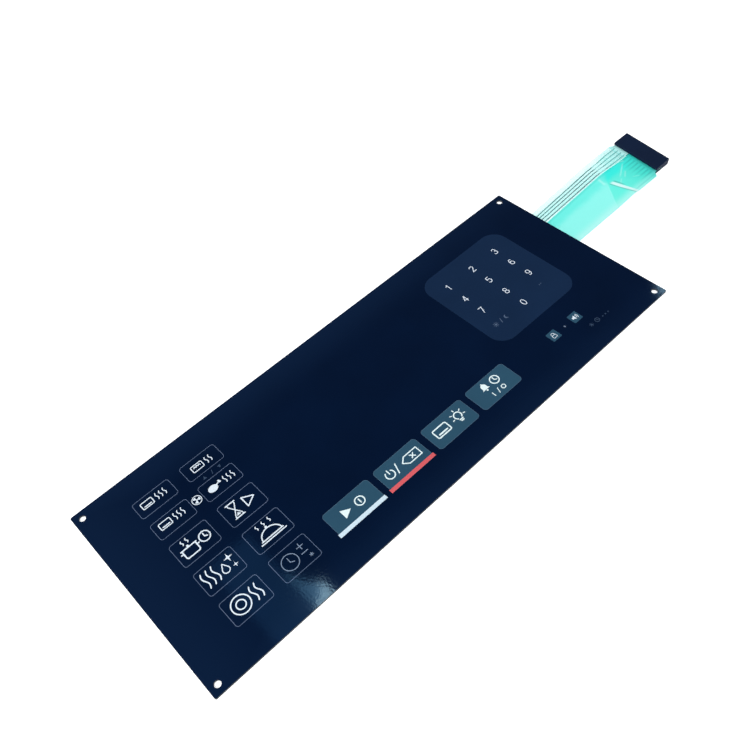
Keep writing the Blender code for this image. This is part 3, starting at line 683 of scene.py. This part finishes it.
printed(
    "number_field",
    [block(FIELD_X, FIELD_Y, FIELD_WIDTH, FIELD_HEIGHT, FIELD_RADIUS, FIELD_STEPS)],
    FIELD_INK,
)
printed(
    "command_tiles",
    [block(x, TILE_Y, width, TILE_HEIGHT, TILE_RADIUS, TILE_STEPS) for x, width in TILES],
    TILE_INK,
)
printed(
    "small_tiles",
    [block(x, y, SMALL_WIDTH, SMALL_HEIGHT, SMALL_RADIUS) for x, y in SMALL_TILES],
    TILE_INK,
)
printed(
    "tile_rims",
    [
        outline_of(x, TILE_Y, width, TILE_HEIGHT, TILE_RADIUS, TILE_LINE, TILE_STEPS)
        for x, width in TILES
    ],
    TILE_LINE_INK, LEGEND_LAYER,
)
printed("white_bar", [bar(*WHITE_BAR)], WHITE_INK, BAR_LAYER)
printed("red_bar", [bar(*RED_BAR)], RED_INK, BAR_LAYER)
printed(
    "key_outlines",
    [
        outline_of(x, y, KEY_WIDTH, height, KEY_RADIUS, KEY_LINE, KEY_STEPS)
        for x in KEY_COLUMNS
        for y, height in KEY_ROWS
    ],
    LINE_INK,
)


# Signs of the legends, each about its own centre


def waves(count, pitch=2.2, height=3.9, swing=0.42, width=FINE):
    """Rising heat or steam."""
    shapes = []
    for i in range(count):
        x = (i - (count - 1) / 2) * pitch
        turns = [k / 12 for k in range(13)]
        wave = [(x + swing * math.sin(2 * math.pi * t), (t - 0.5) * height) for t in turns]
        shapes += line(wave, width)
    return shapes


def oven(low=False, top=False):
    """An oven's window with its lower heater or its grill."""
    width, height = 6.8, 4.3
    shapes = line(block(0, 0, width - FINE, height - FINE, 0.5, 2)[0], FINE, True)
    reach = width / 2 - 1.5
    if low:
        shapes += line([(-reach, -0.85), (reach, -0.85)])
    if top:
        grill = [(-reach + reach * i / 3, 0.25 + 0.75 * (i % 2)) for i in range(7)]
        shapes += line(grill, FINE)
    return shapes


def clock(radius=2.15, width=FINE):
    face = ring(0, 0, radius - width / 2, width)
    return face + line([(0, radius * 0.58), (0, 0), (radius * 0.4, -radius * 0.22)], width)


def play(size):
    return [[(-size * 0.4, -size / 2), (size * 0.5, 0), (-size * 0.4, size / 2)]]


def play_outline():
    size = 6.2
    corners = [(-size * 0.38, -size / 2), (size * 0.48, 0), (-size * 0.38, size / 2)]
    return line(corners, STROKE, True)


def hourglass():
    w, h = 2.6, 4.5
    glass = [(-w + 0.7, h), (-w + 0.7, h - 1.2), (0, 0), (w - 0.7, h - 1.2), (w - 0.7, h)]
    lower = [(x, -y) for x, y in glass]
    sand = [[(-1.2, 1.0 - h), (1.2, 1.0 - h), (0, 2.6 - h)]]
    ends = line([(-w, h), (w, h)]) + line([(-w, -h), (w, -h)])
    return ends + line(glass, FINE) + line(lower, FINE) + sand


def pot():
    """A steaming pot with its lid."""
    body = line([(-3.4, 0.4), (-3.4, -3.2), (-2.9, -3.7), (2.9, -3.7), (3.4, -3.2), (3.4, 0.4)])
    handles = line([(-4.5, -0.6), (-3.4, -0.6)]) + line([(4.5, -0.6), (3.4, -0.6)])
    lid = line([(-3.9, 0.9), (3.9, 0.9)]) + disc(0, 1.65, 0.55)
    return body + handles + lid + moved(waves(2, 2.4, 2.2, 0.35), 0, 4.1)


def cloche():
    """A dish under its dome, kept warm."""
    rim = -3.4
    dome = line([(x, rim + (y - rim) * 0.86) for x, y in arc(0, rim, 5.5, 0, 180, 18)])
    plate = line([(-6.1, rim), (6.1, rim)]) + line([(-7.2, -4.6), (7.2, -4.6)])
    return dome + plate + disc(0, 2.05, 0.65) + moved(waves(3, 3.6, 2.3, 0.38), 0, 4.4)


def drop():
    size = 5.4
    r = size * 0.33
    return line(arc(0, -size / 2 + r, r, 150, 390, 18) + [(0, size / 2)], FINE, True)


def sparkle(radius):
    """A star with four points."""
    reach = [(radius, radius * 0.26)[i % 2] for i in range(8)]
    turns = [math.radians(45 * i) for i in range(8)]
    return [[(r * math.cos(t), r * math.sin(t)) for r, t in zip(reach, turns)]]


def star(radius=0.9, width=0.3):
    """An asterisk."""
    return spokes((90, 150, 210), -radius, radius, width)


def roast():
    """A leg on its bone."""
    body = [[(x, y * 0.74) for x, y in arc(-0.9, 0.0, 2.7, 0, 360, 24)[:-1]]]
    return body + line([(1.2, 0.5), (3.6, 1.3)]) + disc(3.8, 0.9, 0.55) + disc(3.5, 1.75, 0.55)


def hob():
    """The rings of a cooking zone."""
    return ring(0, 0, 4.7, sides=36) + ring(0, 0, 2.3)


def minus(size, width):
    return line([(-size / 2, 0), (size / 2, 0)], width)


def plus(size, width):
    return minus(size, width) + line([(0, -size / 2), (0, size / 2)], width)


# Radius of the power and of the standby sign
SWITCH = 2.2


def power():
    gap_ring = ring(0, -0.1, SWITCH - FINE / 2, FINE, 125, 415, 24)
    return gap_ring + line([(0, 0.3), (0, SWITCH)], FINE)


def standby():
    return ring(0, 0, SWITCH - FINE / 2, FINE) + line([(0, -0.9), (0, 0.9)], FINE)


def slash(height, width):
    return line([(-height * 0.17, -height / 2), (height * 0.17, height / 2)], width)


def rub_out():
    """The key that takes back an entry."""
    tag = line([(-4.6, 0), (-2.3, 2.05), (4.4, 2.05), (4.4, -2.05), (-2.3, -2.05)], FINE, True)
    return tag + line([(0.0, -0.9), (1.8, 0.9)], FINE) + line([(0.0, 0.9), (1.8, -0.9)], FINE)


def bulb():
    middle = 0.5
    globe = line(arc(0, middle, 1.55, -55, 235, 18), FINE)
    foot = line([(-0.75, -1.5), (0.75, -1.5)], FINE) + line([(-0.5, -2.2), (0.5, -2.2)], FINE)
    return globe + foot + spokes((-15, 35, 90, 145, 195), 2.3, 3.0, THIN, middle)


def bell():
    dome = arc(0, 0.6, 1.3, 0, 180, 12)
    body = [[(-1.9, -1.1), (1.9, -1.1), (1.35, -0.4), *dome, (-1.35, -0.4)]]
    return body + disc(0, -1.65, 0.45) + disc(0, 2.05, 0.35, 10)


def lock():
    width = 0.3
    bend = arc(0, 0.8, 0.85, 180, 0, 8)
    shackle = line([(-0.85, 0.2), (-0.85, 0.8), *bend, (0.85, 0.2)], width)
    return line(block(0, -0.75, 2.5, 1.8, 0.3, 2)[0], width, True) + shackle


def speaker():
    cone = [[(-1.9, -0.6), (-1.1, -0.6), (0.1, -1.5), (0.1, 1.5), (-1.1, 0.6), (-1.9, 0.6)]]
    return cone + [s for radius in (1.15, 2.0) for s in ring(-0.1, 0, radius, 0.35, -42, 42, 8)]


def fan():
    radius = 2.65
    shapes = ring(0, 0, radius - 0.2, THIN) + disc(0, 0, 0.4)
    for start in (90, 210, 330):
        shapes.append([(0, 0), *arc(0, 0, radius - 0.75, start, start + 58, 8)])
    return shapes


def sun():
    return disc(0, 0, 0.5) + spokes(range(0, 360, 45), 0.8, 1.15, 0.22)


def moon():
    return [arc(0, 0, 1.1, 60, 300, 14) + arc(0.62, 0, 0.97, 260, 100, 10)]


def triangle(way):
    """A triangle that points up for 1 and down for -1."""
    size = 2.0
    base = -way * size * 0.42
    return [[(-size / 2, base), (size / 2, base), (0, way * size * 0.48)]]


def dots(count, pitch, radius):
    row = [(i - (count - 1) / 2) * pitch for i in range(count)]
    return [dot for x in row for dot in disc(x, 0, radius, 10)]


def group(x, y, *signs):
    """Signs of one legend, each with its place from x, y."""
    return [shape for sign, across, up in signs for shape in moved(sign, x + across, y + up)]


LEGENDS = [
    group(35.4, 99.0, (oven(low=True), -3.9, 0), (waves(3), 3.9, 0)),
    group(63.4, 98.0, (oven(top=True), -2.6, 0), (waves(2), 4.0, 0)),
    group(35.4, 83.2, (oven(low=True), -3.9, 0), (waves(3), 3.9, 0)),
    group(63.5, 82.3, (roast(), -3.6, -0.2), (waves(3, 2.3), 5.0, 0)),
    group(35.6, 65.0, (sized(pot(), 1.1), -3.3, -0.7), (clock(3.1, STROKE), 5.4, -0.6)),
    group(63.6, 64.9, (hourglass(), -4.2, 0), (play_outline(), 4.0, 0)),
    group(
        35.8, 45.3, (waves(3, 2.9, 8.6, 0.75, STROKE), -5.1, 0),
        (drop(), 2.2, -1.2), (sparkle(2.5), 6.3, 2.3), (sparkle(1.5), 7.0, -3.0),
    ),
    group(64.0, 45.0, (cloche(), 0, 0)),
    group(35.7, 25.1, (hob(), -3.0, 0), (waves(2, 2.9, 8.0, 0.75, STROKE), 5.6, 0)),
]
DIM_LEGENDS = [
    group(
        63.8, 24.9, (clock(4.4, THIN), -3.0, 0),
        (plus(3.4, THIN), 4.9, 3.0), (minus(3.4, THIN), 4.9, -0.8), (star(), 6.4, -3.9),
    ),
    group(249.7, 23.8, (star(0.62, 0.2), 0, 0)),
]
TILE_LEGENDS = [
    group(99.6, 25.4, (play(5.4), -4.2, 0), (sized(standby(), 1.25), 4.2, 0)),
    group(
        132.0, 25.3, (sized(power(), 1.25), -8.6, 0),
        (slash(5.2, STROKE), -4.0, 0), (sized(rub_out(), 1.2), 5.2, 0),
    ),
    group(
        163.7, 25.0, (sized(oven(low=True), 1.4), -5.4, 0),
        (moved(bulb(), 0, -0.2, 1.35), 6.2, 0),
    ),
    group(195.2, 27.3, (sized(bell(), 1.25), -3.7, 0), (sized(clock(), 1.3), 3.5, 0)),
    group(
        195.2, 21.1, (line([(0, -1.2), (0, 1.2)], FINE), -3.5, 0),
        (slash(3.0, THIN), 0, 0), (ring(0, 0, 1.15, FINE, sides=18), 3.5, 0),
    ),
]
FAINT_LEGENDS = [
    group(64.2, 90.2, (triangle(1), -4.6, 0), (slash(2.3, 0.35), 0, 0), (triangle(-1), 4.6, 0)),
    group(
        266.0, 14.2, (star(1.1, 0.34), -6.2, 0),
        (clock(1.5, 0.34), -1.6, 0), (dots(3, 2.2, 0.42), 4.6, -0.5),
    ),
]
FIELD_LEGENDS = [
    group(
        230.7, 51.4, (sized(sun(), 1.35), -4.0, 0),
        (slash(2.8, 0.4), 0, 0), (sized(moon(), 1.25), 4.0, 0),
    ),
    group(264.6, 53.4, (dots(2, 1.3, 0.3), 0, 0)),
]
for name, signs, ink, slot in (
    ("key_legends", LEGENDS, LEGEND_INK, "print_light"),
    ("dim_legends", DIM_LEGENDS, DIM_INK, "print_dim"),
    ("tile_legends", TILE_LEGENDS, TILE_LEGEND_INK, "print_light"),
    ("faint_legends", FAINT_LEGENDS, FAINT_INK, "print_dim"),
    ("field_legends", FIELD_LEGENDS, FIELD_LEGEND_INK, "print_dim"),
    ("fan_sign", [moved(fan(), 49.6, 82.7)], LEGEND_INK, "print_light"),
    ("lock_sign", [moved(lock(), *SMALL_TILES[0])], LEGEND_INK, "print_light"),
    ("sound_sign", [moved(speaker(), *SMALL_TILES[1])], LEGEND_INK, "print_light"),
):
    printed(name, signs, ink, LEGEND_LAYER)


# Digits of the number field, drawn as lines about their own centre
DIGIT_LINE = 0.43
DIGIT_TOP = 2.08
DIGIT_COLUMNS = (229.4, 248.6, 267.3)
DIGIT_ROWS = (89.3, 76.6, 64.0, 51.3)


def bow(x, y, across, start, end, steps=14):
    """Points along a stretch of an ellipse that touches the top or the foot of the digit."""
    up = DIGIT_TOP - abs(y)
    return [(x + across * a, y + up * b) for a, b in arc(0, 0, 1, start, end, steps)]


SIX = [bow(0, 0, 1.1, 48, 180) + [(-1.1, -0.8)], bow(0, -0.82, 1.1, 0, 360, 24)]
DIGITS = {
    "0": [bow(0, 0, 1.12, 0, 360, 28)],
    "1": [[(-0.8, 1.2), (0.3, DIGIT_TOP), (0.3, -DIGIT_TOP)]],
    "2": [bow(0, 1.0, 1.1, 165, -25) + [(-1.1, -DIGIT_TOP), (1.15, -DIGIT_TOP)]],
    "3": [bow(-0.1, 1.08, 1.0, 155, -75), bow(-0.1, -0.95, 1.15, 80, -155)],
    "4": [[(0.5, -DIGIT_TOP), (0.5, DIGIT_TOP), (-1.2, -0.85), (1.25, -0.85)]],
    "5": [
        [(1.0, DIGIT_TOP), (-0.7, DIGIT_TOP), (-0.95, 0.15)] + bow(-0.05, -0.73, 1.15, 138, -150),
    ],
    "6": SIX,
    "7": [[(-1.1, DIGIT_TOP), (1.15, DIGIT_TOP), (-0.3, -DIGIT_TOP)]],
    "8": [bow(0, 1.08, 0.92, 0, 360, 22), bow(0, -0.98, 1.14, 0, 360, 24)],
    "9": [[(-x, -y) for x, y in path] for path in SIX],
}


def build_digits():
    signs = []
    for place, digit in enumerate([*"123456789", "", "0"]):
        if digit:
            strokes = [shape for path in DIGITS[digit] for shape in line(path, DIGIT_LINE)]
            signs.append(moved(strokes, DIGIT_COLUMNS[place % 3], DIGIT_ROWS[place // 3]))
    printed("digits", signs, DIGIT_INK, LEGEND_LAYER)


build_digits()


# Tails: traces on the clear film, and the last stretch of those under the coating


# Height over the part from which its faces are looked for, in metres
ABOVE = 0.1


def surface(node):
    """Height of a node's upper face at x, y."""
    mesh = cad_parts[node].data
    corners = [v.co for v in mesh.vertices]
    tree = BVHTree.FromPolygons(corners, [p.vertices for p in mesh.polygons])

    def height(x, y):
        return tree.ray_cast(Vector((x, y, ABOVE)), Vector((0, 0, -1)))[0].z

    return height


# The connector: pitch of its ways, its turn about its length, its middle, and how far the film
# lies over the axis of that turn
PITCH = 2.54
TWIST = math.radians(7.0)
HOUSING_Y = 77.3
FILM_RISE = 0.3

# Traces: where they end, where they spread to the pitch, and where each leaves the panel
TRACE_END = 378.6
SPREAD = (356.0, 369.0)
UPPER_ROOTS = (84.1, 86.4, 88.45, 90.45)
LOWER_ROOTS = tuple(62.3 + 2.6 * i for i in range(COATED_WAYS))
COATED_START = 363.0
CLEAR_TRACE_WIDTH, COATED_TRACE_WIDTH = 0.55, 1.0
CLEAR_TRACE_STEPS, COATED_TRACE_STEPS = 60, 20


def way_y(way):
    across = (way - (WAYS - 1) / 2) * PITCH
    return HOUSING_Y + across * math.cos(TWIST) + FILM_RISE * math.sin(TWIST)


def trace_path(root, way, start, count):
    points = []
    for i in range(count + 1):
        x = start + (TRACE_END - start) * i / count
        along = min(1.0, max(0.0, (x - SPREAD[0]) / (SPREAD[1] - SPREAD[0])))
        points.append((x, root + along * (way_y(way) - root)))
    return points


def ribbon(shape, points, width, height):
    """A thin strip along points, on a face whose height at x, y is given."""
    rows = []
    for x, y in points:
        pair = []
        for side in (-0.5, 0.5):
            px, py = at(x, y + side * width)
            z = height(px, py)
            pair.append([shape.verts.new((px, py, z - SINK)), shape.verts.new((px, py, z + INK))])
        rows.append(pair)
    for (al, ar), (bl, br) in zip(rows, rows[1:]):
        shape.faces.new((al[1], bl[1], br[1], ar[1]))
        shape.faces.new((al[0], ar[0], br[0], bl[0]))
        shape.faces.new((al[0], bl[0], bl[1], al[1]))
        shape.faces.new((ar[0], ar[1], br[1], br[0]))
    for pair in (rows[0], rows[-1]):
        shape.faces.new((pair[0][0], pair[0][1], pair[1][1], pair[1][0]))


def traces(name, film, roots, first_way, start, count, width, material):
    height = surface(film)
    shape = bmesh.new()
    for i, root in enumerate(roots):
        ribbon(shape, trace_path(root, first_way + i, start, count), width, height)
    piece(name, shape, material)


traces(
    "clear_tail_traces", "upper_circuit_film", UPPER_ROOTS, COATED_WAYS, TAIL_ROOT,
    CLEAR_TRACE_STEPS, CLEAR_TRACE_WIDTH, TRACE,
)
traces(
    "coated_tail_traces", "lower_circuit_film", LOWER_ROOTS, 0, COATED_START,
    COATED_TRACE_STEPS, COATED_TRACE_WIDTH, COATED_TRACE,
)


# Floor, light and camera, in metres
FLOOR_Z = -0.0002
FLOOR_REACH = 40.0
FLOOR_SHADE = 0.93
# The lamps fade with distance, so the far floor glows more
FLOOR_GLOW = (0.8, 3.5, 0.5, 1.0)


def build_floor():
    mesh = bpy.data.meshes.new("floor")
    sides = ((-1, -1), (1, -1), (1, 1), (-1, 1))
    corners = [(a * FLOOR_REACH, b * FLOOR_REACH, FLOOR_Z) for a, b in sides]
    mesh.from_pydata(corners, [], [(0, 1, 2, 3)])
    floor = bpy.data.objects.new("floor", mesh)
    bpy.context.scene.collection.objects.link(floor)
    made = bpy.data.materials.new("floor_paper")
    made.use_nodes = True
    tree = made.node_tree
    shader = tree.nodes["Principled BSDF"]
    shader.inputs["Base Color"].default_value = (FLOOR_SHADE, FLOOR_SHADE, FLOOR_SHADE, 1)
    shader.inputs["Roughness"].default_value = 0.9
    shader.inputs["Specular IOR Level"].default_value = 0.1
    seen = tree.nodes.new("ShaderNodeLightPath").outputs
    looked_at = most(tree, seen["Is Camera Ray"], seen["Is Glossy Ray"])
    looked_at = most(tree, looked_at, seen["Is Transmission Ray"])
    place = split_xyz(tree, texture_place(tree))
    squares = [calc(tree, "POWER", place[axis], 2.0) for axis in "XY"]
    away = calc(tree, "SQRT", added(tree, *squares))
    glow = times(tree, looked_at, share(tree, away, *FLOOR_GLOW))
    feed(tree, shader.inputs["Emission Strength"], glow)
    shader.inputs["Emission Color"].default_value = (1, 1, 1, 1)
    mesh.materials.append(made)


# Brightness of the sky by the height that a ray points to, from the horizon to straight up
SKY = (
    (0.0, 1.0), (0.18, 1.0), (0.34, 0.36), (0.50, 0.07), (0.64, 0.035), (0.9, 0.014), (1.0, 0.012),
)


def build_world():
    """A white horizon under a dim ceiling, which the film's gloss mirrors."""
    world = bpy.data.worlds.new("studio")
    bpy.context.scene.world = world
    world.use_nodes = True
    tree = world.node_tree
    background = tree.nodes["Background"]
    height = split_xyz(tree, texture_place(tree, "Generated"))["Z"]
    sky = ramp(tree, height, [(place, [level] * 3) for place, level in SKY])
    seen = tree.nodes.new("ShaderNodeLightPath").outputs["Is Camera Ray"]
    feed(tree, background.inputs["Color"], blend(tree, seen, sky, (255, 255, 255)))
    background.inputs["Strength"].default_value = 1.0


def lamp(name, place, size, watts, target=(0, 0, 0), spin=0.0, colour=(1, 1, 1)):
    data = bpy.data.lights.new(name, "AREA")
    data.shape = "RECTANGLE"
    data.size, data.size_y = size
    data.energy = watts
    data.color = colour
    made = bpy.data.objects.new(name, data)
    bpy.context.scene.collection.objects.link(made)
    made.location = place
    made.rotation_euler = (Vector(target) - Vector(place)).to_track_quat("-Z", "Y").to_euler()
    made.rotation_euler.rotate_axis("Z", math.radians(spin))


# Height of the dim lamps, and each one's name, x, y, size, watts, turn in degrees and colour.
# They are patches of cool surfaces overhead, which the overlay mirrors below its keys and at its
# right corner.
GLIMPSE_Z = 1.05
GLIMPSES = (
    ("glimpse_wide", 0.025, 0.485, (0.09, 0.22), 0.036, 0.0, (0.11, 0.43, 1.0)),
    ("glimpse_band", 0.056, 0.475, (0.035, 0.15), 0.05, 18.0, (0.22, 0.6, 1.0)),
    ("glimpse_tip", 0.079, 0.436, (0.018, 0.055), 0.026, 34.0, (0.3, 0.66, 1.0)),
    ("glimpse_end", 0.084, 0.406, (0.048, 0.038), 0.062, 0.0, (0.48, 0.8, 1.0)),
    ("glimpse_corner", 1.064, 0.402, (0.016, 0.03), 0.014, 0.0, (0.42, 0.75, 1.0)),
)

# The camera's lens and sensor in millimetres, and its place and axes in the frame
LENS, SENSOR = 41.2, 36.0
CAMERA_PLACE = (-0.15274, -0.21198, 0.35125)
CAMERA_RIGHT = (0.72797, -0.67729, -0.10651)
CAMERA_UP = (0.58504, 0.53266, 0.61159)
CAMERA_BACK = (-0.35749, -0.50753, 0.78400)


def build_camera():
    data = bpy.data.cameras.new("camera")
    data.sensor_width = SENSOR
    data.lens = LENS
    data.clip_start = 0.01
    made = bpy.data.objects.new("camera", data)
    bpy.context.scene.collection.objects.link(made)
    turn = Matrix((CAMERA_RIGHT, CAMERA_UP, CAMERA_BACK)).transposed()
    made.matrix_world = Matrix.Translation(CAMERA_PLACE) @ turn.to_4x4()
    bpy.context.scene.camera = made


build_floor()
build_world()
lamp("key", (-0.9, -0.7, 1.5), (1.4, 1.4), 27)
lamp("fill", (0.9, -1.0, 1.3), (1.4, 1.4), 13.8)
lamp("back", (-1.1, 0.9, 1.2), (1.2, 1.2), 10.3)
for name, x, y, size, watts, spin, colour in GLIMPSES:
    lamp(name, (x, y, GLIMPSE_Z), size, watts, (x, y, 0.0), spin, colour)
build_camera()
bpy.context.scene.view_settings.view_transform = "Standard"
